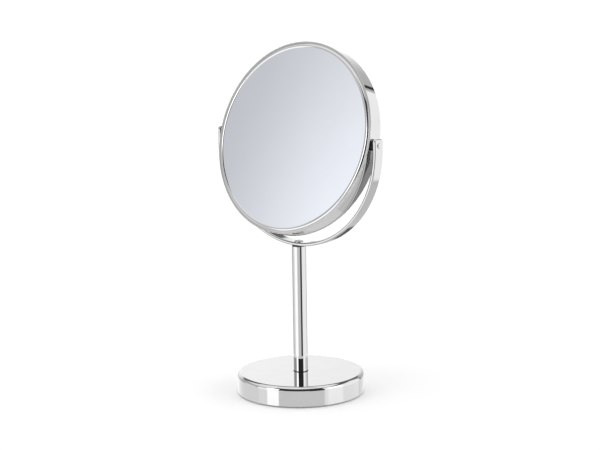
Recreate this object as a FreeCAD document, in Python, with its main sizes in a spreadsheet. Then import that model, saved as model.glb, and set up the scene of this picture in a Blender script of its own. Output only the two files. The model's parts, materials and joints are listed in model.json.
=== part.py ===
import FreeCAD, Part
import math
import operator
import os

import Sketcher

# Table-top shaving mirror: a weighted round base, a telescopic post, a U-shaped yoke of flat bar and
# a round double-sided mirror head that tips on two side pivots. Millimetres, +Z up, origin at the
# centre of the base's underside. The pivot axis runs along X; the plain mirror looks towards -Y and
# is tipped back by HeadTilt. The post is pushed fully in.

DIMENSIONS = {
    # Mirror head, measured along its own axis (front bead to rear bead) and across it.
    "HeadDiameter": (180, "outside of the chrome hoop"),
    "HeadWidth": (17.2, "front bead to rear bead"),
    "HeadTilt": (16.2, "degrees the plain mirror is tipped back"),
    "HoopWidth": (14.6, "rolled steel strip of the hoop"),
    "HoopWall": (0.8, "rolled steel strip of the hoop"),
    "HoopSeam": (0.3, "butt joint where the strip's ends meet"),
    "HoopChamfer": (0.2, "broken edges of the hoop"),
    "OpeningDiameter": (168.4, "glass that the bezel leaves free"),
    "BeadWidth": (3.7, "rounded bead on the bezel, across"),
    "BeadHeight": (0.5, "rounded bead above the glass"),
    "BeadInnerRound": (0.4, "bead towards the glass"),
    "BeadOuterRound": (1.1, "bead towards the hoop"),
    "ShoulderDrop": (1.15, "bezel's shoulder below the bead"),
    "ShoulderSlope": (0.1, "how far the shoulder falls towards the hoop"),
    "SkirtWall": (2.4, "bezel skirt inside the hoop"),
    "SkirtDepth": (1.9, "how far the skirt reaches inside the hoop"),
    "GlassThickness": (2, "both mirrors"),
    "GlassBow": (3, "depth of the magnifying mirror's hollow"),
    "SpacerWidth": (5.5, "ring that holds the two glasses apart"),
    "SpacerRelief": (0.45, "room for the magnifying glass's curve"),
    "CardThickness": (1, "card on the plain mirror's back"),
    # Side pivots, measured along X from the hoop outwards.
    "PivotHeight": (241, "pivot axis above the table, post pushed in"),
    "RivetShoulder": (4, "bearing diameter in the yoke"),
    "RivetTail": (3, "diameter through the hoop"),
    "RivetFlare": (4.2, "spread end inside the hoop"),
    "RivetFlareDepth": (0.8, "spread end inside the hoop"),
    "RivetHead": (4.9, "domed head"),
    "RivetHeadHeight": (0.75, "domed head"),
    "RivetHeadRound": (0.6, "domed head"),
    "RivetWasher": (5.8, "steel washer under the spread end"),
    "RivetWasherThickness": (0.6, "steel washer under the spread end"),
    "BearingGap": (0.05, "radial running clearance"),
    "FaceGap": (0.1, "end play beside a turning face"),
    "NylonWasher": (10, "black washer between hoop and yoke"),
    "NylonThickness": (2.1, "black washer between hoop and yoke"),
    # Yoke.
    "YokeRadius": (95.8, "outside of the bend"),
    "YokeDrop": (4.6, "centre of the bend below the pivots"),
    "BarWidth": (11.8, "flat bar, along Y"),
    "BarThickness": (3.4, "flat bar"),
    "BarRound": (1.6, "rounded edges of the bar"),
    "TipRound": (2.3, "corners of the arms' ends"),
    "YokeScrewShank": (5, "screw through the yoke's foot"),
    "YokeScrewHead": (8.4, "low button head"),
    "YokeScrewHeadHeight": (0.8, "low button head"),
    "YokeScrewHeadRound": (0.6, "low button head"),
    "YokeScrewReach": (16, "screw below the yoke"),
    "SocketFlats": (3, "hexagon socket across flats"),
    "SocketDepth": (1.1, "hexagon socket"),
    "SpringWasher": (8, "split washer under the screw head"),
    "SpringThickness": (0.3, "split washer under the screw head"),
    "SpringSlit": (0.8, "split washer under the screw head"),
    "SeatThickness": (0.5, "nylon disc between tube and yoke"),
    # Telescopic post.
    "PostDiameter": (13.3, "outer tube"),
    "PostWall": (1, "outer tube"),
    "InnerTube": (9.8, "sliding tube"),
    "InnerWall": (0.8, "sliding tube"),
    "InnerLength": (92, "sliding tube"),
    "BushLength": (15, "nylon bush in the outer tube's mouth"),
    "BushFlange": (0.4, "bush lip on the outer tube's end"),
    "BushTopGap": (0.3, "between the bush and the yoke, post pushed in"),
    "BushFlangeDiameter": (12.8, "bush lip on the outer tube's end"),
    "PlugLength": (18, "threaded plug in the sliding tube's top"),
    "PistonLength": (14, "nylon piston on the sliding tube's foot"),
    "PistonSpigot": (10, "part of the piston inside the tube"),
    "RingGroove": (3.4, "groove for the friction ring"),
    "RingGrooveDepth": (1, "groove for the friction ring"),
    "RingHeight": (3, "friction ring"),
    "RingSlit": (1.6, "gap in the friction ring"),
    "RingRise": (5.5, "groove above the piston's foot"),
    "FootPlugLength": (14, "threaded plug in the outer tube's foot"),
    # Base.
    "BaseDiameter": (120, "chrome cover"),
    "BaseHeight": (19.3, "table to the top of the cover"),
    "BaseRound": (4, "top edge of the cover"),
    "CoverWall": (0.8, "drawn sheet"),
    "CoverLift": (0.9, "cover's rim above the table"),
    "GasketDiameter": (14.1, "black ring under the post"),
    "GasketThickness": (0.4, "black ring under the post"),
    "WeightDiameter": (116.4, "cast iron disc"),
    "WeightThickness": (9.6, "cast iron disc"),
    "WeightChamfer": (2.4, "cast iron disc"),
    "TrayDiameter": (118, "moulded base plate"),
    "TrayFloor": (1.2, "moulded base plate"),
    "TrayRib": (2, "ribs that carry the weight"),
    "TrayRibInset": (2.6, "outer rib from the plate's edge"),
    "TrayHub": (30, "inner rib's outside"),
    "PadDiameter": (114, "foam pad"),
    "PadThickness": (1.2, "foam pad"),
    "BoltShank": (6, "bolt that holds the post"),
    "BoltReach": (9, "bolt inside the post's plug"),
    "BoltFlats": (10, "hexagon head across flats"),
    "BoltHeadHeight": (4, "hexagon head"),
    "BoltWasher": (18, "washer under the bolt's head"),
    "BoltWasherThickness": (1.5, "washer under the bolt's head"),
    "BoltClearance": (0.2, "radial gap round bolts and screws"),
    "PressGap": (0.02, "radial gap of parts that are pushed together"),
    "SlideGap": (0.06, "radial gap of the sliding tube"),
}

doc = FreeCAD.newDocument("ShavingMirror")
sheet = doc.addObject("Spreadsheet::Sheet", "Dimensions")

FULL_TURN = 360
LINE_START, LINE_END, CENTRE = 1, 2, 3
ROOT_POINT = (-1, 1)
H_AXIS, V_AXIS = -1, -2
TOUCH = 1e-4
ARITHMETIC = {"+": operator.add, "-": operator.sub, "*": operator.mul, "/": operator.truediv}


class Size:
    """A length that carries both its number and the spreadsheet formula that it is bound to."""

    def __init__(self, number, formula):
        self.number = number
        self.formula = formula

    def joined(self, sign, other):
        other = sized(other)
        return Size(ARITHMETIC[sign](self.number, other.number),
                    f"({self.formula} {sign} {other.formula})")

    def __add__(self, other):
        return self.joined("+", other)

    def __sub__(self, other):
        return self.joined("-", other)

    def __mul__(self, other):
        return self.joined("*", other)

    def __truediv__(self, other):
        return self.joined("/", other)

    def __neg__(self):
        return self * -1


def sized(quantity):
    return quantity if isinstance(quantity, Size) else Size(quantity, str(quantity))


def fill_sheet():
    """Writes the driving dimensions to the sheet and gives them back as bound sizes."""
    for row, (alias, (number, meaning)) in enumerate(DIMENSIONS.items(), start=1):
        sheet.set(f"A{row}", meaning)
        sheet.set(f"B{row}", str(number))
        sheet.setAlias(f"B{row}", alias)
    return {alias: Size(number, f"Dimensions.{alias}") for alias, (number, _) in DIMENSIONS.items()}


d = fill_sheet()
doc.recompute()


# Sketches and features ---------------------------------------------------------------------------

def new_body(name):
    body = doc.addObject("PartDesign::Body", name)
    body.Label = name
    return body


def new_sketch(body, name, plane):
    sketch = body.newObject("Sketcher::SketchObject", name)
    support = next(f for f in body.Origin.OriginFeatures if f.Role == plane)
    sketch.AttachmentSupport = (support, [""])
    sketch.MapMode = "FlatFace"
    return sketch


def bind(sketch, terms, quantity):
    """Adds a constraint of the given terms and binds its size."""
    index = sketch.addConstraint(Sketcher.Constraint(*terms, quantity.number))
    sketch.setExpression(f"Constraints[{index}]", quantity.formula)


def hold(sketch, item, point, x, y):
    """Fixes a point of a line or circle to its two coordinates."""
    for quantity, kind, zero_axis in ((sized(x), "DistanceX", V_AXIS), (sized(y), "DistanceY", H_AXIS)):
        if quantity.number == 0:
            sketch.addConstraint(Sketcher.Constraint("PointOnObject", item, point, zero_axis))
        else:
            bind(sketch, (kind, *ROOT_POINT, item, point), quantity)


def polygon(body, name, plane, corners):
    """A closed outline of straight sides; every corner is held to its two sizes."""
    sketch = new_sketch(body, name, plane)
    places = [FreeCAD.Vector(sized(x).number, sized(y).number, 0) for x, y in corners]
    count = len(corners)
    for i in range(count):
        sketch.addGeometry(Part.LineSegment(places[i], places[(i + 1) % count]), False)
    for i in range(count):
        sketch.addConstraint(
            Sketcher.Constraint("Coincident", i, LINE_END, (i + 1) % count, LINE_START))
    for i, (x, y) in enumerate(corners):
        hold(sketch, i, LINE_START, x, y)
    return sketch


def circles(body, name, plane, radii, centre=(0, 0)):
    """One sketch of concentric circles about a point of the plane."""
    sketch = new_sketch(body, name, plane)
    x, y = centre
    place = FreeCAD.Vector(sized(x).number, sized(y).number, 0)
    up = FreeCAD.Vector(0, 0, 1)
    for radius in radii:
        item = sketch.addGeometry(Part.Circle(place, up, radius.number), False)
        hold(sketch, item, CENTRE, x, y)
        bind(sketch, ("Radius", item), radius)
    return sketch


def hexagon(body, name, plane, flats):
    """A hexagon about the origin, one corner on the sketch's X axis."""
    reach = flats / math.sqrt(3)
    turns = [math.radians(angle) for angle in range(0, FULL_TURN, 60)]
    corners = [(reach * round(math.cos(turn), 9), reach * round(math.sin(turn), 9)) for turn in turns]
    return polygon(body, name, plane, corners)


def revolve(body, corners):
    """Turns an outline of (radius, height) corners about the body's Z axis."""
    sketch = polygon(body, "Profile", "XZ_Plane", corners)
    feature = body.newObject("PartDesign::Revolution", "Turned")
    feature.Profile = sketch
    feature.ReferenceAxis = (sketch, ["V_Axis"])
    feature.Angle = FULL_TURN
    return feature


def pad(body, sketch, length, middle=False):
    feature = body.newObject("PartDesign::Pad", "Pad")
    feature.Profile = sketch
    feature.setExpression("Length", sized(length).formula)
    feature.SideType = "Symmetric" if middle else "One side"
    return feature


def cut_through(body, sketch, depth):
    """Removes the sketch's area, half the depth to each side of its plane."""
    doc.recompute()
    before = body.Shape.Volume
    feature = body.newObject("PartDesign::Pocket", "Cut")
    feature.Profile = sketch
    feature.setExpression("Length", sized(depth).formula)
    feature.SideType = "Symmetric"
    doc.recompute()
    if body.Shape.Volume > before - TOUCH:
        raise RuntimeError(f"{body.Label}: {sketch.Label} cuts nothing")
    return feature


def rings_at(body, places):
    """Names of the body's circular edges about Z at the given (radius, height) places."""
    doc.recompute()
    names = []
    for number, edge in enumerate(body.Tip.Shape.Edges, start=1):
        curve = edge.Curve
        if not isinstance(curve, Part.Circle) or abs(abs(curve.Axis.z) - 1) > TOUCH:
            continue
        for radius, height in places:
            if (abs(curve.Radius - sized(radius).number) < TOUCH
                    and abs(curve.Center.z - sized(height).number) < TOUCH):
                names.append(f"Edge{number}")
    if not names:
        raise RuntimeError(f"{body.Label}: no edge to round")
    return names


def dress_edges(body, kind, names, property_name, size):
    """Adds a Fillet or Chamfer on the named edges of the body as it stands."""
    base = body.Tip
    feature = body.newObject(f"PartDesign::{kind}", kind)
    feature.Base = (base, names)
    feature.setExpression(property_name, sized(size).formula)
    doc.recompute()


def round_edges(body, names, radius):
    dress_edges(body, "Fillet", names, "Radius", radius)


def bevel_edges(body, names, size):
    dress_edges(body, "Chamfer", names, "Size", size)


def raise_to(piece, height):
    """Places a piece by the height of its own zero above the table."""
    piece.setExpression("Placement.Base.z", sized(height).formula)


def turned(name, corners, height=0):
    """A turned piece: an outline of (radius, height) corners about the post's axis."""
    body = new_body(name)
    revolve(body, corners)
    raise_to(body, height)
    return body


def ring(name, outside, inside, thickness, height=0):
    """A flat ring or a tube, from its outer and inner diameters."""
    corners = ((inside / 2, 0), (outside / 2, 0), (outside / 2, thickness), (inside / 2, thickness))
    return turned(name, corners, height)


def slit(body, width, reach, depth):
    """Opens a ring on its +Y side."""
    corners = ((-width / 2, 0), (width / 2, 0), (width / 2, reach), (-width / 2, reach))
    cut_through(body, polygon(body, "Slit", "XY_Plane", corners), depth)


# Levels shared by several pieces -----------------------------------------------------------------

hoop_radius = d["HeadDiameter"] / 2
hoop_bore = hoop_radius - d["HoopWall"]
head_half = d["HeadWidth"] / 2
hoop_half = d["HoopWidth"] / 2
skirt_outside = hoop_bore - d["PressGap"]
skirt_inside = skirt_outside - d["SkirtWall"]
glass_radius = skirt_inside - d["FaceGap"]
glass_front = head_half - d["BeadHeight"]
glass_back = glass_front - d["GlassThickness"]
spacer_radius = glass_radius - d["PressGap"]

yoke_centre = d["PivotHeight"] - d["YokeDrop"]
yoke_foot = yoke_centre - d["YokeRadius"]
yoke_floor = yoke_foot + d["BarThickness"]
yoke_inside = d["YokeRadius"] - d["BarThickness"]
seat_foot = yoke_foot - d["FaceGap"] - d["SeatThickness"]
spring_foot = yoke_floor + d["FaceGap"]
screw_neck = spring_foot + d["SpringThickness"]

post_bore = d["PostDiameter"] / 2 - d["PostWall"]
post_foot = d["BaseHeight"] + d["GasketThickness"]
post_top = yoke_foot - d["BushTopGap"] - d["BushFlange"]
inner_bore = d["InnerTube"] / 2 - d["InnerWall"]
inner_foot = seat_foot - d["InnerLength"]

cover_ceiling = d["BaseHeight"] - d["CoverWall"]
weight_foot = cover_ceiling - d["WeightThickness"]
bolt_neck = weight_foot - d["BoltWasherThickness"]
bolt_hole = d["BoltShank"] / 2 + d["BoltClearance"]


# Base --------------------------------------------------------------------------------------------

def base_cover():
    outside = d["BaseDiameter"] / 2
    inside = outside - d["CoverWall"]
    top = d["BaseHeight"] - d["CoverLift"]
    ceiling = top - d["CoverWall"]
    body = turned("base_cover", (
        (bolt_hole, ceiling), (inside, ceiling), (inside, 0),
        (outside, 0), (outside, top), (bolt_hole, top)), d["CoverLift"])
    round_edges(body, rings_at(body, [(outside, top)]), d["BaseRound"])
    round_edges(body, rings_at(body, [(inside, ceiling)]), d["BaseRound"] - d["CoverWall"])


def base_weight():
    outside = d["WeightDiameter"] / 2
    top = d["WeightThickness"]
    body = turned("base_weight", (
        (bolt_hole, 0), (outside, 0), (outside, top), (bolt_hole, top)), weight_foot)
    bevel_edges(body, rings_at(body, [(outside, top)]), d["WeightChamfer"])


def base_plate():
    edge = d["TrayDiameter"] / 2
    floor = d["TrayFloor"]
    rib_top = weight_foot - d["PadThickness"]
    outer_rib = edge - d["TrayRibInset"]
    hub = d["TrayHub"] / 2
    turned("base_plate", (
        (0, 0), (edge, 0), (edge, floor), (outer_rib, floor), (outer_rib, rib_top),
        (outer_rib - d["TrayRib"], rib_top), (outer_rib - d["TrayRib"], floor),
        (hub, floor), (hub, rib_top), (hub - d["TrayRib"], rib_top), (hub - d["TrayRib"], floor),
        (0, floor)), d["PadThickness"])


def base_pad():
    body = new_body("base_pad")
    pad(body, circles(body, "Outline", "XY_Plane", [d["PadDiameter"] / 2]), d["PadThickness"])


def base_bolt():
    body = new_body("base_bolt")
    pad(body, hexagon(body, "Head", "XY_Plane", d["BoltFlats"]), d["BoltHeadHeight"])
    shank = circles(body, "Shank", "XY_Plane", [d["BoltShank"] / 2])
    pad(body, shank, post_foot - bolt_neck + d["BoltHeadHeight"] + d["BoltReach"])
    raise_to(body, bolt_neck - d["BoltHeadHeight"])


def base_bolt_washer():
    ring("base_bolt_washer", d["BoltWasher"], bolt_hole * 2, d["BoltWasherThickness"], bolt_neck)


# Telescopic post ---------------------------------------------------------------------------------

def post_gasket():
    ring("post_gasket", d["GasketDiameter"], bolt_hole * 2, d["GasketThickness"], d["BaseHeight"])


def outer_tube():
    ring("outer_tube", d["PostDiameter"], post_bore * 2, post_top - post_foot, post_foot)


def post_foot_plug():
    ring("post_foot_plug", (post_bore - d["PressGap"]) * 2, d["BoltShank"] + d["PressGap"] * 2,
         d["FootPlugLength"], post_foot)


def post_bush():
    bore = d["InnerTube"] / 2 + d["SlideGap"]
    outside = post_bore - d["PressGap"]
    lip = d["BushFlangeDiameter"] / 2
    length = d["BushLength"]
    top = length + d["BushFlange"]
    turned("post_bush", (
        (bore, 0), (outside, 0), (outside, length), (lip, length), (lip, top), (bore, top)),
        post_top - length)


def inner_tube():
    ring("inner_tube", d["InnerTube"], inner_bore * 2, d["InnerLength"], inner_foot)


def inner_tube_plug():
    ring("inner_tube_plug", (inner_bore - d["PressGap"]) * 2,
         d["YokeScrewShank"] + d["PressGap"] * 2, d["PlugLength"], seat_foot - d["PlugLength"])


def slide_piston():
    outside = post_bore - d["SlideGap"]
    groove = outside - d["RingGrooveDepth"]
    spigot = inner_bore - d["PressGap"]
    length = d["PistonLength"]
    rise = d["RingRise"]
    groove_top = rise + d["RingGroove"]
    top = length + d["PistonSpigot"]
    turned("slide_piston", (
        (0, 0), (outside, 0), (outside, rise), (groove, rise), (groove, groove_top),
        (outside, groove_top), (outside, length), (spigot, length), (spigot, top), (0, top)),
        inner_foot - length)


def friction_ring():
    outside = (post_bore - d["SlideGap"] / 2) * 2
    inside = (post_bore - d["SlideGap"] - d["RingGrooveDepth"] + d["SlideGap"]) * 2
    height = inner_foot - d["PistonLength"] + d["RingRise"] + (d["RingGroove"] - d["RingHeight"]) / 2
    body = ring("friction_ring", outside, inside, d["RingHeight"], height)
    slit(body, d["RingSlit"], outside, d["RingHeight"] * 3)


# Yoke --------------------------------------------------------------------------------------------

def yoke_outline(body):
    """The bar seen along Y: a half circle below its centre and two straight arms above it."""
    sketch = new_sketch(body, "Outline", "XZ_Plane")
    centre = FreeCAD.Vector(0, yoke_centre.number, 0)
    up = FreeCAD.Vector(0, 0, 1)
    outside, inside = d["YokeRadius"].number, yoke_inside.number
    low = yoke_centre.number
    top = d["PivotHeight"] + d["BarWidth"] / 2

    def line(x_from, y_from, x_to, y_to):
        return Part.LineSegment(FreeCAD.Vector(x_from, y_from, 0), FreeCAD.Vector(x_to, y_to, 0))

    def half_circle(radius):
        return Part.ArcOfCircle(Part.Circle(centre, up, radius), math.pi, 2 * math.pi)

    high = top.number
    shapes = (half_circle(outside), line(outside, low, outside, high), line(outside, high, inside, high),
              line(inside, high, inside, low), half_circle(inside), line(-inside, low, -inside, high),
              line(-inside, high, -outside, high), line(-outside, high, -outside, low))
    (outer_arc, right_out, right_top, right_in,
     inner_arc, left_in, left_top, left_out) = [sketch.addGeometry(shape, False) for shape in shapes]

    def constrain(*terms):
        sketch.addConstraint(Sketcher.Constraint(*terms))

    for end, start in (((outer_arc, LINE_END), (right_out, LINE_START)),
                       ((right_out, LINE_END), (right_top, LINE_START)),
                       ((right_top, LINE_END), (right_in, LINE_START)),
                       ((right_in, LINE_END), (inner_arc, LINE_END)),
                       ((inner_arc, LINE_START), (left_in, LINE_START)),
                       ((left_in, LINE_END), (left_top, LINE_START)),
                       ((left_top, LINE_END), (left_out, LINE_START)),
                       ((left_out, LINE_END), (outer_arc, LINE_START)),
                       ((outer_arc, CENTRE), (inner_arc, CENTRE))):
        constrain("Coincident", *end, *start)
    for side in (right_out, right_in, left_in, left_out):
        constrain("Vertical", side)
    for edge in (right_top, left_top):
        constrain("Horizontal", edge)
    for arc in (outer_arc, inner_arc):
        for end in (LINE_START, LINE_END):
            constrain("Horizontal", arc, end, arc, CENTRE)
    constrain("PointOnObject", outer_arc, CENTRE, V_AXIS)
    for terms, quantity in ((("DistanceY", *ROOT_POINT, outer_arc, CENTRE), yoke_centre),
                            (("DistanceY", *ROOT_POINT, right_top, LINE_START), top),
                            (("DistanceY", *ROOT_POINT, left_top, LINE_START), top),
                            (("Radius", outer_arc), d["YokeRadius"]),
                            (("Radius", inner_arc), yoke_inside)):
        bind(sketch, terms, quantity)
    return sketch


def edge_names(body, wanted):
    doc.recompute()
    return [f"Edge{n}" for n, edge in enumerate(body.Tip.Shape.Edges, start=1) if wanted(edge)]


def runs_along(edge, axis):
    """True for a straight edge along one of the axes, given as 0, 1 or 2."""
    if not isinstance(edge.Curve, Part.Line):
        return False
    return abs(abs(tuple(edge.Curve.Direction)[axis]) - 1) < TOUCH


def yoke():
    body = new_body("yoke")
    pad(body, yoke_outline(body), d["BarWidth"], middle=True)
    arm_top = (d["PivotHeight"] + d["BarWidth"] / 2).number
    ends = edge_names(body, lambda e: runs_along(e, 0) and abs(e.CenterOfMass.z - arm_top) < TOUCH)
    round_edges(body, ends, d["TipRound"])
    rims = edge_names(body, lambda e: not runs_along(e, 0) and not runs_along(e, 1))
    round_edges(body, rims, d["BarRound"])
    pivot = circles(body, "PivotBore", "YZ_Plane", [d["RivetShoulder"] / 2 + d["BearingGap"]],
                    (0, d["PivotHeight"]))
    cut_through(body, pivot, d["YokeRadius"] * 3)
    foot = circles(body, "FootBore", "XY_Plane", [d["YokeScrewShank"] / 2 + d["BearingGap"]])
    cut_through(body, foot, yoke_centre * 2)


def yoke_screw():
    body = new_body("yoke_screw")
    shank_length = d["YokeScrewReach"] + d["BarThickness"]
    head_top = shank_length + d["YokeScrewHeadHeight"]
    revolve(body, ((0, 0), (d["YokeScrewShank"] / 2, 0), (d["YokeScrewShank"] / 2, shank_length),
                   (d["YokeScrewHead"] / 2, shank_length), (d["YokeScrewHead"] / 2, head_top),
                   (0, head_top)))
    round_edges(body, rings_at(body, [(d["YokeScrewHead"] / 2, head_top)]), d["YokeScrewHeadRound"])
    raise_to(body, screw_neck - shank_length)
    socket = hexagon(body, "Socket", "XY_Plane", d["SocketFlats"])
    socket.setExpression("AttachmentOffset.Base.z", head_top.formula)
    cut_through(body, socket, d["SocketDepth"] * 2)


def yoke_spring_washer():
    body = ring("yoke_spring_washer", d["SpringWasher"],
                d["YokeScrewShank"] + d["BoltClearance"] * 2, d["SpringThickness"], spring_foot)
    slit(body, d["SpringSlit"], d["SpringWasher"], d["SpringThickness"] * 3)


def yoke_seat_disc():
    ring("yoke_seat_disc", d["InnerTube"], d["YokeScrewShank"] + d["BoltClearance"] * 2,
         d["SeatThickness"], seat_foot)


# Mirror head, built along its own Z axis and then laid back on the pivots -------------------------

def mount_in_head(piece, rear=False):
    """Puts a piece built about the head's axis on the pivots; rear turns it to the other face."""
    quarter = 90
    lean = quarter - d["HeadTilt"].number + (2 * quarter if rear else 0)
    piece.Placement = FreeCAD.Placement(
        FreeCAD.Vector(0, 0, d["PivotHeight"].number),
        FreeCAD.Rotation(FreeCAD.Vector(1, 0, 0), lean))
    turn = f"{quarter} deg - Dimensions.HeadTilt * 1 deg" + (f" + {2 * quarter} deg" if rear else "")
    piece.setExpression("Placement.Rotation.Angle", turn)
    raise_to(piece, d["PivotHeight"])


def head_hoop():
    body = new_body("head_hoop")
    chamfer = d["HoopChamfer"]
    revolve(body, (
        (hoop_bore, -hoop_half), (hoop_radius - chamfer, -hoop_half), (hoop_radius, chamfer - hoop_half),
        (hoop_radius, hoop_half - chamfer), (hoop_radius - chamfer, hoop_half), (hoop_bore, hoop_half)))
    holes = circles(body, "PivotHoles", "YZ_Plane", [d["RivetTail"] / 2 + d["PressGap"]])
    cut_through(body, holes, hoop_radius * 3)
    half_seam = d["HoopSeam"] / 2
    below = -d["HeadDiameter"]
    corners = ((-half_seam, 0), (half_seam, 0), (half_seam, below), (-half_seam, below))
    cut_through(body, polygon(body, "Seam", "XY_Plane", corners), d["HeadWidth"] * 2)
    mount_in_head(body)


def bezel(name, rear):
    """A rounded bead beside the glass, a shoulder that falls to the hoop and a skirt inside it."""
    body = new_body(name)
    bead_inside = d["OpeningDiameter"] / 2
    bead_outside = bead_inside + d["BeadWidth"]
    shoulder = head_half - d["ShoulderDrop"]
    skirt_end = hoop_half - d["SkirtDepth"]
    revolve(body, (
        (bead_inside, glass_front), (bead_inside, head_half), (bead_outside, head_half),
        (bead_outside, shoulder), (skirt_outside, shoulder - d["ShoulderSlope"]),
        (skirt_outside, skirt_end), (skirt_inside, skirt_end), (skirt_inside, glass_front)))
    round_edges(body, rings_at(body, [(bead_inside, head_half)]), d["BeadInnerRound"])
    round_edges(body, rings_at(body, [(bead_outside, head_half)]), d["BeadOuterRound"])
    mount_in_head(body, rear)


def plain_mirror():
    body = new_body("plain_mirror")
    revolve(body, ((0, glass_back), (glass_radius, glass_back), (glass_radius, glass_front),
                   (0, glass_front)))
    mount_in_head(body)


def magnifying_mirror():
    """A glass of even thickness slumped to a sphere, hollow side out."""
    bow = d["GlassBow"]
    sphere = (glass_radius * glass_radius / bow + bow) / 2
    centre = glass_front + sphere - bow
    blank = doc.addObject("Part::Cylinder", "MagnifierBlank")
    blank.setExpression("Radius", glass_radius.formula)
    blank.setExpression("Height", (glass_front * 2).formula)
    blank.setExpression("Placement.Base.z", (-glass_front).formula)
    balls = []
    for name, radius in (("MagnifierBack", sphere + d["GlassThickness"]), ("MagnifierFront", sphere)):
        ball = doc.addObject("Part::Sphere", name)
        ball.setExpression("Radius", radius.formula)
        ball.setExpression("Placement.Base.z", centre.formula)
        balls.append(ball)
    shell = doc.addObject("Part::Common", "MagnifierDisc")
    shell.Base, shell.Tool = blank, balls[0]
    glass = doc.addObject("Part::Cut", "magnifying_mirror")
    glass.Base, glass.Tool = shell, balls[1]
    glass.Label = "magnifying_mirror"
    mount_in_head(glass, rear=True)


def mirror_spacer():
    inside = spacer_radius - d["SpacerWidth"]
    low = d["SpacerRelief"] - glass_back
    body = new_body("mirror_spacer")
    revolve(body, ((inside, low), (spacer_radius, low), (spacer_radius, glass_back), (inside, glass_back)))
    mount_in_head(body)


def backing_card():
    edge = spacer_radius - d["SpacerWidth"] - d["FaceGap"]
    low = glass_back - d["CardThickness"]
    body = new_body("backing_card")
    revolve(body, ((0, low), (edge, low), (edge, glass_back), (0, glass_back)))
    mount_in_head(body)


# Side pivots, turned about Z and then laid along +X or -X ----------------------------------------

def lay_sideways(piece, side):
    """Turns a piece's own Z axis outwards to the side, +1 or -1, through the pivot axis."""
    piece.Placement = FreeCAD.Placement(
        FreeCAD.Vector(), FreeCAD.Rotation(FreeCAD.Vector(0, 1, 0), 90 * side))
    raise_to(piece, d["PivotHeight"])


def pivot_rivet(name, side):
    shoulder_top = d["YokeRadius"] + d["FaceGap"]
    head_top = shoulder_top + d["RivetHeadHeight"]
    flare_top = hoop_bore - d["FaceGap"] - d["RivetWasherThickness"]
    flare_foot = flare_top - d["RivetFlareDepth"]
    tail, flare = d["RivetTail"] / 2, d["RivetFlare"] / 2
    shoulder, head = d["RivetShoulder"] / 2, d["RivetHead"] / 2
    body = new_body(name)
    revolve(body, (
        (0, flare_foot), (flare, flare_foot), (flare, flare_top), (tail, flare_top), (tail, hoop_radius),
        (shoulder, hoop_radius), (shoulder, shoulder_top), (head, shoulder_top), (head, head_top),
        (0, head_top)))
    round_edges(body, rings_at(body, [(head, head_top)]), d["RivetHeadRound"])
    lay_sideways(body, side)


def pivot_ring(name, side, outside, inside, thickness, start):
    """A washer on the pivot axis that starts at the given distance from the middle."""
    body = new_body(name)
    revolve(body, ((inside / 2, start), (outside / 2, start), (outside / 2, start + thickness),
                   (inside / 2, start + thickness)))
    lay_sideways(body, side)


def pivots():
    for word, side in (("left", -1), ("right", 1)):
        pivot_rivet(f"pivot_rivet_{word}", side)
        pivot_ring(f"pivot_washer_{word}", side, d["NylonWasher"],
                   d["RivetShoulder"] + d["BearingGap"] * 2, d["NylonThickness"],
                   hoop_radius + d["PressGap"])
        pivot_ring(f"rivet_washer_{word}", side, d["RivetWasher"],
                   d["RivetTail"] + d["BearingGap"] * 2, d["RivetWasherThickness"],
                   hoop_bore - d["FaceGap"] - d["RivetWasherThickness"])


# Build, check and write --------------------------------------------------------------------------

def build():
    for make in (base_pad, base_plate, base_weight, base_cover, base_bolt, base_bolt_washer,
                 post_gasket, outer_tube, post_foot_plug, post_bush, inner_tube, inner_tube_plug,
                 slide_piston, friction_ring, yoke, yoke_screw, yoke_spring_washer, yoke_seat_disc,
                 head_hoop, plain_mirror, magnifying_mirror, mirror_spacer, backing_card, pivots):
        make()
    bezel("front_bezel", rear=False)
    bezel("rear_bezel", rear=True)
    doc.recompute()


def check_document():
    for thing in doc.Objects:
        if {"Invalid", "Error"} & set(thing.State):
            raise RuntimeError(f"{thing.Label} failed: {thing.State}")


def pieces():
    """The sub-parts: every body, and the one piece made by booleans."""
    return [thing for thing in doc.Objects
            if thing.TypeId == "PartDesign::Body" or thing.Label == "magnifying_mirror"]


def write_pieces():
    for piece in pieces():
        shape = piece.Shape
        if shape.isNull() or not shape.isValid() or len(shape.Solids) != 1:
            raise RuntimeError(f"{piece.Label}: not one valid solid")
    os.makedirs("parts", exist_ok=True)
    for piece in pieces():
        piece.Shape.exportStep(f"parts/{piece.Label}.step")
        print(f"{piece.Label}: {piece.Shape.Volume / 1000:.2f} cm3")


build()
check_document()
write_pieces()
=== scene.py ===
import json
import math

import bpy
from mathutils import Matrix, Vector


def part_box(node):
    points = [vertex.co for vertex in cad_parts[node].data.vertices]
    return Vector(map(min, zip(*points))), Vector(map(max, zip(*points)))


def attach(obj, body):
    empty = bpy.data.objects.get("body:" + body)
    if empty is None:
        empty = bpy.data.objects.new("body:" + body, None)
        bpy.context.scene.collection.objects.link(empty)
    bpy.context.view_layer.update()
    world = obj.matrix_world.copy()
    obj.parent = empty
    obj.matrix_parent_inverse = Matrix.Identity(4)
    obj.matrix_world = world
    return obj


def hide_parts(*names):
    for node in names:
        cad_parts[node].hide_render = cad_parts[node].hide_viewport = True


# Chrome table mirror in a white studio. Metres, +Z up, the frame's own coordinates. The chrome and
# the glass that show are rebuilt here as smooth rounded pieces; the pieces inside stay as the CAD has
# them. Every size comes from the frame, apart from the small radii and details that are named here.

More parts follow.
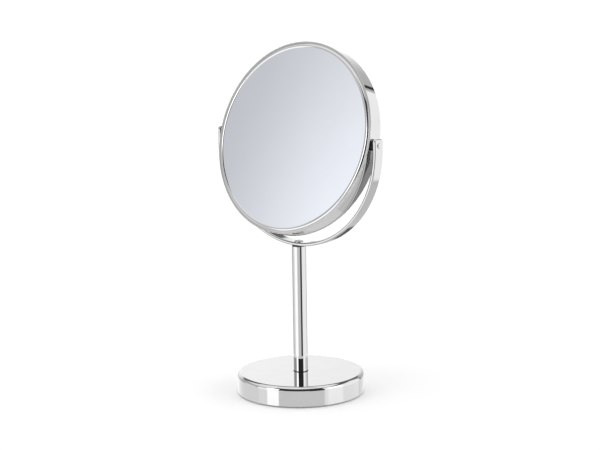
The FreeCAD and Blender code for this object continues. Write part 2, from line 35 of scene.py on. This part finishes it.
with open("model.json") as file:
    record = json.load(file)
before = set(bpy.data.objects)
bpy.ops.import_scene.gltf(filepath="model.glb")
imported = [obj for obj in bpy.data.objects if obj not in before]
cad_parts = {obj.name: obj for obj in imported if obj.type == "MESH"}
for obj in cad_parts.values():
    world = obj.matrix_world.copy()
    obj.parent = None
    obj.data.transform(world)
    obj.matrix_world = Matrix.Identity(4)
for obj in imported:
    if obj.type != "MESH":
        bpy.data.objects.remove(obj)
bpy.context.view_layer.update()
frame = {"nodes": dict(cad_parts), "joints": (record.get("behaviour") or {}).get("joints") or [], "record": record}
MM = 0.001


# Node materials ----------------------------------------------------------------------------------

class Shader:
    """A node tree with short calls for the nodes that the surfaces and the sky share."""

    def __init__(self, tree):
        self.tree = tree
        self.tree.nodes.clear()

    def node(self, kind, **settings):
        node = self.tree.nodes.new(kind)
        for key, value in settings.items():
            setattr(node, key, value)
        return node

    def feed(self, socket, source):
        """Sets a socket to a number or colour, or links it to another node's output."""
        if isinstance(source, bpy.types.NodeSocket):
            self.tree.links.new(source, socket)
        else:
            socket.default_value = source

    def math(self, operation, *sources):
        node = self.node("ShaderNodeMath", operation=operation)
        for socket, source in zip(node.inputs, sources):
            self.feed(socket, source)
        return node.outputs[0]

    def ranged(self, factor, start, end, low=0.0, high=1.0, smooth=False):
        """Maps a factor that runs from start to end onto low to high."""
        node = self.node("ShaderNodeMapRange")
        if smooth:
            node.interpolation_type = "SMOOTHSTEP"
        for name, source in (("Value", factor), ("From Min", start), ("From Max", end),
                             ("To Min", low), ("To Max", high)):
            self.feed(node.inputs[name], source)
        return node.outputs["Result"]

    def mixed(self, factor, first, second):
        """A number between first and second."""
        node = self.node("ShaderNodeMix")
        for socket, source in zip(node.inputs, (factor, None, first, second)):
            if source is not None:
                self.feed(socket, source)
        return node.outputs[0]


class Surface(Shader):
    """The node tree of one finish, around a Principled shader."""

    def __init__(self, name):
        self.material = bpy.data.materials.new(name)
        self.material.use_nodes = True
        super().__init__(self.material.node_tree)
        self.place = self.node("ShaderNodeTexCoord").outputs["Object"]
        self.shader = self.node("ShaderNodeBsdfPrincipled")
        output = self.node("ShaderNodeOutputMaterial")
        self.feed(output.inputs["Surface"], self.shader.outputs["BSDF"])

    def set(self, name, source):
        self.feed(self.shader.inputs[name], source)

    def noise(self, scale, detail=3, roughness=0.5):
        """A cloudy factor with about that many clouds to the metre."""
        node = self.node("ShaderNodeTexNoise")
        for name, source in (("Vector", self.place), ("Scale", scale), ("Detail", detail),
                             ("Roughness", roughness)):
            self.feed(node.inputs[name], source)
        return node.outputs["Fac"]

    def colours(self, factor, dark, light):
        """A colour between dark and light. The noise factors that it is given seldom leave 0.3 to 0.7."""
        ramp = self.node("ShaderNodeValToRGB")
        for element, place, colour in zip(ramp.color_ramp.elements, (0.3, 0.7), (dark, light)):
            element.position = place
            element.color = (*colour, 1)
        self.feed(ramp.inputs["Fac"], factor)
        return ramp.outputs["Color"]

    def bump(self, height, distance):
        node = self.node("ShaderNodeBump")
        for name, source in (("Strength", 1.0), ("Distance", distance), ("Height", height)):
            self.feed(node.inputs[name], source)
        self.set("Normal", node.outputs["Normal"])


# Noise clouds to the metre: faint tone, polishing, wiping marks on glass and moulded or cast grain.
TONE_CLOUDS, POLISH_CLOUDS, SMUDGE_CLOUDS, GRAIN_CLOUDS = 60, 900, 35, 2500
GRAIN_DEPTH = 0.02 * MM


def grey(value):
    return (value, value, value)


def metal(name, tone, roughness):
    surface = Surface(name)
    cloud = surface.noise(TONE_CLOUDS, 4)
    surface.set("Base Color", surface.colours(cloud, grey(tone * 0.98), grey(tone * 1.02)))
    polish = surface.noise(POLISH_CLOUDS, 2)
    surface.set("Roughness", surface.ranged(polish, 0, 1, roughness * 0.7, roughness * 1.6))
    surface.set("Metallic", 1.0)
    return surface.material


def mirror(name):
    """Silvered glass with a cool tint and the faintest wiping marks."""
    surface = Surface(name)
    smudge = surface.noise(SMUDGE_CLOUDS, 5, 0.6)
    surface.set("Base Color", surface.colours(smudge, (0.825, 0.85, 0.915), (0.84, 0.868, 0.932)))
    surface.set("Roughness", surface.ranged(smudge, 0.4, 0.8, 0.0, 0.015))
    surface.set("Metallic", 1.0)
    return surface.material


def grained(name, dark, light, roughness):
    """A dull material with a fine grain, such as moulded nylon, cast iron, foam or card."""
    surface = Surface(name)
    grain = surface.noise(GRAIN_CLOUDS, 2)
    surface.set("Base Color", surface.colours(grain, dark, light))
    surface.set("Roughness", surface.ranged(grain, 0, 1, roughness * 0.8, roughness * 1.2))
    surface.bump(grain, GRAIN_DEPTH)
    return surface.material


FINISHES = {
    "chrome_steel": metal("chrome", 0.58, 0.02),
    "mirror_glass": mirror("silvered_glass"),
    "black_nylon": grained("black_nylon", grey(0.008), grey(0.014), 0.45),
    "white_nylon": grained("white_nylon", (0.7, 0.7, 0.67), (0.78, 0.78, 0.75), 0.4),
    "zinc_steel": metal("zinc_plate", 0.5, 0.25),
    "cast_iron": grained("cast_iron", grey(0.03), grey(0.06), 0.7),
    "tray_plastic": grained("tray_plastic", grey(0.015), grey(0.03), 0.55),
    "foam_pad": grained("foam_pad", grey(0.01), grey(0.03), 0.9),
    "card": grained("card", (0.3, 0.22, 0.14), (0.4, 0.3, 0.2), 0.9),
}
slot_of = {part["node"]: part["material_slot"] for part in frame["record"]["subparts"]}
for node, thing in frame["nodes"].items():
    thing.data.materials.clear()
    thing.data.materials.append(FINISHES[slot_of[node]])


# Outlines and meshes -----------------------------------------------------------------------------

ON_AXIS = 1e-7
SHARP_EDGE = math.radians(40)


def rounded(corners, steps=8):
    """An outline of 2D points from (x, y, radius) corners, each corner rounded by its radius."""
    points = []
    for i, (x, y, radius) in enumerate(corners):
        here = Vector((x, y))
        if not radius:
            points.append(here)
            continue
        back = (Vector(corners[i - 1][:2]) - here).normalized()
        ahead = (Vector(corners[(i + 1) % len(corners)][:2]) - here).normalized()
        half = back.angle(ahead) / 2
        centre = here + (back + ahead).normalized() * (radius / math.sin(half))
        first = here + back * (radius / math.tan(half)) - centre
        last = here + ahead * (radius / math.tan(half)) - centre
        turn = math.pi - 2 * half
        for k in range(steps + 1):
            angle = turn * k / steps
            arm = first * math.sin(turn - angle) + last * math.sin(angle)
            points.append(centre + arm / math.sin(turn))
    return points


def arc(x, y, radius, start, end, steps):
    """Points round (x, y), from the start angle to the end angle in radians."""
    turns = [start + (end - start) * k / steps for k in range(steps + 1)]
    return [(x + radius * math.cos(turn), y + radius * math.sin(turn)) for turn in turns]


def lathe(outline, steps=256, gap=0.0):
    """Points and faces of an outline of (radius, height) points turned about Z.
    A radius may be a function of the angle. An outline that starts and ends on the axis makes a
    solid, any other a closed ring. A gap, in radians, leaves the ring open on its -Y side."""
    points, rows, faces = [], [], []
    turn = (2 * math.pi - gap) / steps
    count = steps + 1 if gap else steps
    for radius, height in outline:
        ring = count if callable(radius) or radius > ON_AXIS else 1
        rows.append(range(len(points), len(points) + ring))
        for k in range(ring):
            angle = (gap - math.pi) / 2 + turn * k
            reach = radius(angle) if callable(radius) else radius
            points.append((reach * math.cos(angle), reach * math.sin(angle), height))
    pairs = list(zip(rows, rows[1:]))
    if len(rows[0]) > 1:
        pairs.append((rows[-1], rows[0]))
    for low, high in pairs:
        for k in range(steps):
            corners = [low[k % len(low)], low[(k + 1) % len(low)],
                       high[(k + 1) % len(high)], high[k % len(high)]]
            face = list(dict.fromkeys(corners))
            if len(face) > 2:
                faces.append(face)
    if gap:
        faces.append([row[0] for row in rows])
        faces.append([row[-1] for row in reversed(rows)])
    return points, faces


def finished(name, points, faces, finish, body, replaced, place=Matrix()):
    """Makes a smooth piece in a finish that rides on a body and stands for a CAD node."""
    mesh = bpy.data.meshes.new(name)
    mesh.from_pydata([place @ Vector(point) for point in points], [], faces)
    mesh.validate()
    mesh.shade_smooth()
    mesh.set_sharp_from_angle(angle=SHARP_EDGE)
    piece = bpy.data.objects.new(name, mesh)
    bpy.context.scene.collection.objects.link(piece)
    mesh.materials.append(FINISHES[finish])
    weigh = piece.modifiers.new("even_normals", "WEIGHTED_NORMAL")
    weigh.keep_sharp = True
    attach(piece, body)
    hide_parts(replaced)


# The frame's places ------------------------------------------------------------------------------

def sizes(node, place=Matrix()):
    """A node's inner and outer radius about a place's Z axis, and its reach along that axis."""
    back = place.inverted()
    corners = [back @ vertex.co for vertex in frame["nodes"][node].data.vertices]
    radii = [math.hypot(corner.x, corner.y) for corner in corners]
    heights = [corner.z for corner in corners]
    return min(radii), max(radii), min(heights), max(heights)


joints = {joint["name"]: joint for joint in frame["joints"]}
pivot = Vector(joints["head_tilt"]["pos_m"])
glass_mesh = frame["nodes"]["plain_mirror"].data
front = max(glass_mesh.polygons, key=lambda face: face.area * (face.normal.y < 0)).normal.copy()
sideways = Vector((1, 0, 0))
front_axes = Matrix((sideways, front.cross(sideways), front)).transposed()
front_place = Matrix.Translation(pivot) @ front_axes.to_4x4()
rear_place = front_place @ Matrix.Rotation(math.pi, 4, "X")


def pivot_place(side):
    """Z outwards along the pivot axis, to the side +1 or -1."""
    return Matrix.Translation(pivot) @ Matrix.Rotation(side * math.pi / 2, 4, "Y")


def turned_ring(name, node, finish, body, ease, place=Matrix()):
    """A smooth tube or washer with eased edges, as large as its CAD node."""
    inner, outer, low, high = sizes(node, place)
    outline = rounded([(inner, low, ease), (outer, low, ease), (outer, high, ease),
                       (inner, high, ease)], 5)
    finished(name, *lathe(outline), finish, body, node, place)


# Base and post -----------------------------------------------------------------------------------

def base_cover():
    hole, outside, low, top = sizes("base_cover")
    wall = 0.8 * MM
    edge = 4 * MM
    rim = 0.3 * MM
    outline = rounded([(hole, top, 0), (outside, top, edge), (outside, low, rim),
                       (outside - wall, low, rim), (outside - wall, top - wall, edge - wall),
                       (hole, top - wall, 0)], 20)
    finished("base_shell", *lathe(outline, 360), "chrome_steel", "base", "base_cover")


def post():
    turned_ring("post_tube", "outer_tube", "chrome_steel", "base", 0.3 * MM)
    turned_ring("post_ring", "post_gasket", "black_nylon", "base", 0.15 * MM)
    turned_ring("sliding_tube", "inner_tube", "chrome_steel", "slider", 0.2 * MM)
    bore, lip, low, high = sizes("post_bush")
    outside, _, _, tube_top = sizes("outer_tube")
    ease = 0.1 * MM
    outline = rounded([(bore, low, ease), (outside, low, ease), (outside, tube_top, 0),
                       (lip, tube_top, ease), (lip, high, ease), (bore, high, ease)], 4)
    finished("bush_lip", *lathe(outline, 128), "black_nylon", "base", "post_bush")


# Yoke --------------------------------------------------------------------------------------------

def yoke():
    """A flat bar with rounded edges, made unrolled and then bent onto the U."""
    low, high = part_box("yoke")
    outside, half_width = high.x, high.y
    thickness = 3.4 * MM
    edge = 1.6 * MM
    tip = 2.3 * MM
    bend = low.z + outside
    middle = outside - thickness / 2
    half_length = middle * math.pi / 2 + high.z - bend
    stations = 180
    corner_steps = 8
    edge_steps = 10

    def loop(inset):
        """Half a turn round the unrolled bar's outline, on its +Y side from end to end."""
        side = half_width - inset
        end = half_length - inset
        radius = tip - inset
        right = arc(end - radius, side - radius, radius, 0, math.pi / 2, corner_steps)
        left = arc(radius - end, side - radius, radius, math.pi / 2, math.pi, corner_steps)
        run = end - radius
        between = [(run * (1 - 2 * k / stations), side) for k in range(1, stations)]
        return [(end, 0), *right, *between, *left, (-end, 0)]

    def bent(along, across, out):
        """Places a point of the unrolled bar on the U."""
        turned = max(-math.pi / 2, min(math.pi / 2, along / middle))
        rest = abs(along) - abs(turned) * middle
        radius = middle + out
        return (radius * math.sin(turned), across, bend - radius * math.cos(turned) + rest)

    inner_edge = arc(edge, edge - thickness / 2, edge, -math.pi / 2, -math.pi, edge_steps)
    outer_edge = arc(edge, thickness / 2 - edge, edge, math.pi, math.pi / 2, edge_steps)
    rows = inner_edge + outer_edge
    points, faces = [], []
    for inset, out in rows:
        half = loop(inset)
        whole = half + [(along, -across) for along, across in reversed(half[1:-1])]
        points += [bent(along, across, out) for along, across in whole]
    count = len(points) // len(rows)
    for row in range(len(rows) - 1):
        for k in range(count):
            here, ahead = row * count + k, row * count + (k + 1) % count
            faces.append((here, ahead, ahead + count, here + count))
    for first, flip in ((0, True), (len(points) - count, False)):
        for k in range(count // 2):
            face = list(dict.fromkeys([first + k, first + k + 1, first + (count - k - 1) % count,
                                       first + (count - k) % count]))
            faces.append(face[::-1] if flip else face)
    finished("yoke_bar", points, faces, "chrome_steel", "yoke", "yoke")


def yoke_screw():
    """A low button head with a hexagon socket. The screw stays with the post as the yoke turns."""
    _, head, foot, top = sizes("yoke_screw")
    shank = 2.5 * MM
    head_height = 0.8 * MM
    neck = top - head_height
    edge = 0.5 * MM
    flat = 1.5 * MM
    depth = 1.1 * MM

    def hexagon(angle):
        """The socket's reach at an angle about the screw's axis."""
        return flat / math.cos(angle % (math.pi / 3) - math.pi / 6)

    outline = rounded([(0, foot, 0), (shank, foot, edge), (shank, neck, 0), (head, neck, 0),
                       (head, top, edge)])
    outline += [(hexagon, top), (hexagon, top - depth), (0, top - depth)]
    finished("foot_screw", *lathe(outline, 96), "chrome_steel", "slider", "yoke_screw")


# Mirror head -------------------------------------------------------------------------------------

def hoop():
    """The band round the head, open by a hair at its lowest point."""
    inside, outside, low, high = sizes("head_hoop", front_place)
    ease = 0.15 * MM
    seam = 0.3 * MM
    outline = rounded([(outside, low, ease), (outside, high, ease), (inside, high, ease),
                       (inside, low, ease)], 4)
    mesh = lathe(outline, 360, seam / outside)
    finished("hoop_band", *mesh, "chrome_steel", "head", "head_hoop", front_place)


def bezel(name, node, place, glass):
    """A rounded bead beside the glass, a shoulder that falls to the hoop and a skirt inside it."""
    inside, outside, low, crest = sizes(node, place)
    glass_front = sizes(glass, place)[3]
    dome, roll = 2.8 * MM, 0.8 * MM
    lean = math.radians(40)
    shoulder = crest - 1.15 * MM
    slope = 0.1 * MM
    wall = 2.4 * MM
    ease = 0.12 * MM
    quarter = math.pi / 2
    rise = math.acos(1 - (crest - glass_front) / dome)
    dome_x = inside + dome * math.sin(rise)
    dome_y = crest - dome
    roll_x = dome_x + (dome - roll) * math.sin(lean)
    roll_y = dome_y + (dome - roll) * math.cos(lean)
    outline = arc(dome_x, dome_y, dome, quarter + rise, quarter - lean, 16)
    foot = math.asin((shoulder - roll_y) / roll)
    outline += arc(roll_x, roll_y, roll, quarter - lean, foot, 10)[1:]
    outline += rounded([(outside, shoulder - slope, ease), (outside, low, ease),
                        (outside - wall, low, ease), (outside - wall, glass_front, 0),
                        (inside, glass_front, 0),
                        (*outline[-1], 0)], 5)[:-2]
    finished(name, *lathe(outline, 360), "chrome_steel", "head", node, place)


def plain_glass():
    _, radius, low, high = sizes("plain_mirror", front_place)
    ease = 0.3 * MM
    outline = rounded([(0, high, 0), (radius, high, ease), (radius, low, ease), (0, low, 0)], 3)
    finished("plain_glass", *lathe(outline, 360), "mirror_glass", "head", "plain_mirror", front_place)


def hollow_glass():
    """The magnifying mirror: a glass of even thickness bent to a sphere, hollow side out."""
    _, radius, low, high = sizes("magnifying_mirror", rear_place)
    thickness = 2 * MM
    bow = high - low - thickness
    sphere = (radius * radius / bow + bow) / 2
    rings = 40

    def bowl(height):
        """Points of the sphere from the middle to the edge, that high at the middle."""
        reaches = [radius * k / rings for k in range(rings + 1)]
        return [(r, height + sphere - math.sqrt(sphere * sphere - r * r)) for r in reaches]

    outline = bowl(low + thickness) + bowl(low)[::-1]
    finished("hollow_glass", *lathe(outline), "mirror_glass", "head", "magnifying_mirror", rear_place)


def pivots():
    """A shoulder rivet with a domed head and a black washer at each end of the tilt axis."""
    tail, shoulder, flare = 1.5 * MM, 2 * MM, 2.1 * MM
    flare_depth = 0.8 * MM
    head_height = 0.75 * MM
    edge = 0.6 * MM
    ease = 0.1 * MM
    washer_ease = 0.2 * MM
    crown = 0.12 * MM
    hoop_radius = sizes("head_hoop", front_place)[1]
    for word, side in (("left", -1), ("right", 1)):
        place = pivot_place(side)
        _, head, foot, top = sizes(f"pivot_rivet_{word}", place)
        neck = top - head_height
        outline = rounded([(0, foot, 0), (flare, foot, ease), (flare, foot + flare_depth, 0),
                           (tail, foot + flare_depth, 0), (tail, hoop_radius, 0),
                           (shoulder, hoop_radius, 0), (shoulder, neck, 0), (head, neck, ease),
                           (head, top - crown, edge), (0, top, 0)], 6)
        finished(f"rivet_{word}", *lathe(outline, 96), "chrome_steel", "head",
                 f"pivot_rivet_{word}", place)
        turned_ring(f"nylon_washer_{word}", f"pivot_washer_{word}", "black_nylon", "head",
                    washer_ease, place)


base_cover()
post()
yoke()
yoke_screw()
hoop()
bezel("front_ring", "front_bezel", front_place, "plain_mirror")
bezel("rear_ring", "rear_bezel", rear_place, "magnifying_mirror")
plain_glass()
hollow_glass()
pivots()


# Studio ------------------------------------------------------------------------------------------

# The camera's angles are in degrees, its distance in metres, and it aims at a point that far to the
# right of the post's axis and that high above the table.
CAMERA_AZIMUTH, CAMERA_ELEVATION, CAMERA_ROLL = 40.47, 10.17, -0.89
CAMERA_DISTANCE = 1.5393
CAMERA_AIM = (0.00135, 0.1596)
FOCAL_LENGTH, SENSOR_WIDTH = 98.77, 36


def camera():
    azimuth = math.radians(CAMERA_AZIMUTH)
    elevation = math.radians(CAMERA_ELEVATION)
    roll = math.radians(CAMERA_ROLL)
    across = Vector((math.cos(azimuth), math.sin(azimuth), 0))
    back = Vector((math.sin(azimuth) * math.cos(elevation), -math.cos(azimuth) * math.cos(elevation),
                   math.sin(elevation)))
    up = back.cross(across)
    aside, height = CAMERA_AIM
    place = across * aside + Vector((0, 0, height)) + back * CAMERA_DISTANCE
    right = across * math.cos(roll) + up * math.sin(roll)
    data = bpy.data.cameras.new("camera")
    data.lens, data.sensor_width = FOCAL_LENGTH, SENSOR_WIDTH
    data.clip_end = 100
    thing = bpy.data.objects.new("camera", data)
    bpy.context.scene.collection.objects.link(thing)
    axes = Matrix((right, back.cross(right), back)).transposed()
    thing.matrix_world = Matrix.Translation(place) @ axes.to_4x4()
    bpy.context.scene.camera = thing


# What the chrome sees, as directions from the object: azimuth to the camera's right of the camera,
# elevation above the table, in degrees, radiance, and how softly the two pairs of edges fade.
# A later entry stands in front of an earlier one.
STUDIO = (
    ("overhead", (-181, 181), (52, 91), 1.3, 0.1, 14),
    ("left_ceiling", (-180, -48), (31, 60), 1.2, 10, 10),
    ("table", (-181, 181), (-91, -28), 0.8, 0.1, 6),
    ("left_wall", (-180, -60), (-8, 27), 0.62, 8, 8),
    ("left_door", (-118, -87), (-28, 7), 1.1, 5, 7),
    ("left_glow", (-83, -36), (-28, 22), 1.06, 3.2, 16),
    ("background_light", (165, 215), (0, 23), 1.33, 22, 3),
    ("background_shade", (140, 225), (25, 48), 0.2, 8, 3),
    ("right_shade", (78, 150), (41, 54), 0.15, 8, 4),
    ("floor_shade", (157, 174), (-36, -23), 0.15, 2, 2),
    ("low_softbox", (-83, -31), (-28, 5), 1.7, 1.5, 3),
    ("front_room", (-31, 15), (-28, 5), 0.87, 1, 4),
    ("front_dark", (-55, 52), (-4, 53), 0.05, 3, 5),
    ("tall_softbox", (-64, -41), (4, 27), 3.4, 1.2, 4),
    ("dark_strip", (15, 43), (-28, 10), 0.06, 1, 4),
    ("right_panel", (43, 130), (-27, 40), 1.38, 1, 3),
    ("right_softbox", (50, 82), (7, 34), 2.2, 3, 4),
    ("dark_gap", (132.5, 135.5), (-28, 42), 0.05, 0.7, 4),
)
ROOM_RADIANCE = 0.68


def studio_world():
    """A sky that lays the studio's windows over one another in order."""
    world = bpy.data.worlds.new("studio")
    bpy.context.scene.world = world
    world.use_nodes = True
    sky = Shader(world.node_tree)
    direction = sky.node("ShaderNodeTexCoord").outputs["Generated"]
    parts = sky.node("ShaderNodeSeparateXYZ")
    sky.feed(parts.inputs[0], direction)
    degree = math.pi / 180
    elevation = sky.math("DIVIDE", sky.math("ARCSINE", parts.outputs["Z"]), degree)
    radiance = ROOM_RADIANCE
    for _, (az_low, az_high), (el_low, el_high), strength, az_soft, el_soft in STUDIO:
        turn = sky.node("ShaderNodeVectorRotate", rotation_type="Z_AXIS")
        middle = (az_low + az_high) / 2
        sky.feed(turn.inputs["Vector"], direction)
        sky.feed(turn.inputs["Angle"], (90 - CAMERA_AZIMUTH - middle) * degree)
        flat = sky.node("ShaderNodeSeparateXYZ")
        sky.feed(flat.inputs[0], turn.outputs[0])
        bearing = sky.math("ARCTAN2", flat.outputs["Y"], flat.outputs["X"])
        azimuth = sky.math("DIVIDE", bearing, degree)
        half = (az_high - az_low) / 2
        fade = el_soft / 2
        beside = sky.ranged(sky.math("ABSOLUTE", azimuth), half + az_soft, half - az_soft, smooth=True)
        above = sky.ranged(elevation, el_low - fade, el_low + fade, smooth=True)
        below = sky.ranged(elevation, el_high + fade, el_high - fade, smooth=True)
        window = sky.math("MULTIPLY", beside, sky.math("MULTIPLY", above, below))
        radiance = sky.mixed(window, radiance, strength)
    background = sky.node("ShaderNodeBackground")
    sky.feed(background.inputs["Color"], (1, 1, 1, 1))
    sky.feed(background.inputs["Strength"], radiance)
    output = sky.node("ShaderNodeOutputWorld")
    sky.feed(output.inputs["Surface"], background.outputs[0])


def staged(name, outline, surface, rays):
    """A turned part of the studio that only the named kinds of ray can meet."""
    points, faces = lathe(outline, 96)
    mesh = bpy.data.meshes.new(name)
    mesh.from_pydata(points, [], faces)
    mesh.materials.append(surface.material)
    thing = bpy.data.objects.new(name, mesh)
    bpy.context.scene.collection.objects.link(thing)
    for ray in ("camera", "diffuse", "glossy", "transmission", "shadow", "volume_scatter"):
        setattr(thing, f"visible_{ray}", ray in rays)


def glowing(name, paint, glow, strength):
    """A stage surface that adds light of its own to the studio's."""
    surface = Surface(name)
    paint_clouds, glow_clouds = surface.noise(3), surface.noise(0.5)
    surface.set("Base Color", surface.colours(paint_clouds, grey(paint), grey(paint * 1.02)))
    surface.set("Emission Color", surface.colours(glow_clouds, grey(glow * 0.98), grey(glow)))
    surface.set("Emission Strength", strength)
    surface.set("Specular IOR Level", 0.0)
    surface.set("Roughness", 0.9)
    return surface


def slab(reach, top, foot):
    """The outline of a round slab."""
    return [(0, top), (reach, top), (reach, foot), (0, foot)]


def stage():
    """A white floor, the glossy floor that the chrome near it sees, and a white wall far behind."""
    floor = glowing("floor", 0.93, 1.0, 0.2)
    floor_reach, floor_top, floor_foot = 6, -0.6 * MM, -0.01
    staged("floor", slab(floor_reach, floor_top, floor_foot), floor, ("camera", "diffuse", "shadow"))
    sheen = glowing("sheen", 0.02, 1.0, 0.9)
    sheen.set("Specular IOR Level", 0.5)
    sheen.set("Roughness", 0.04)
    near_reach, near_top, near_foot = 0.14, -0.3 * MM, -0.5 * MM
    staged("near_floor", slab(near_reach, near_top, near_foot), sheen, ("glossy",))
    wall = glowing("backdrop", 0.0, 1.0, 1.1)
    reach, top, foot, thick = 5.5, 5, -0.02, 0.1
    staged("backdrop", [(0, top), (reach, top), (reach, foot), (reach + thick, foot),
                        (reach + thick, top + thick), (0, top + thick)], wall, ("camera",))


camera()
studio_world()
stage()
bpy.context.scene.view_settings.view_transform = "Standard"
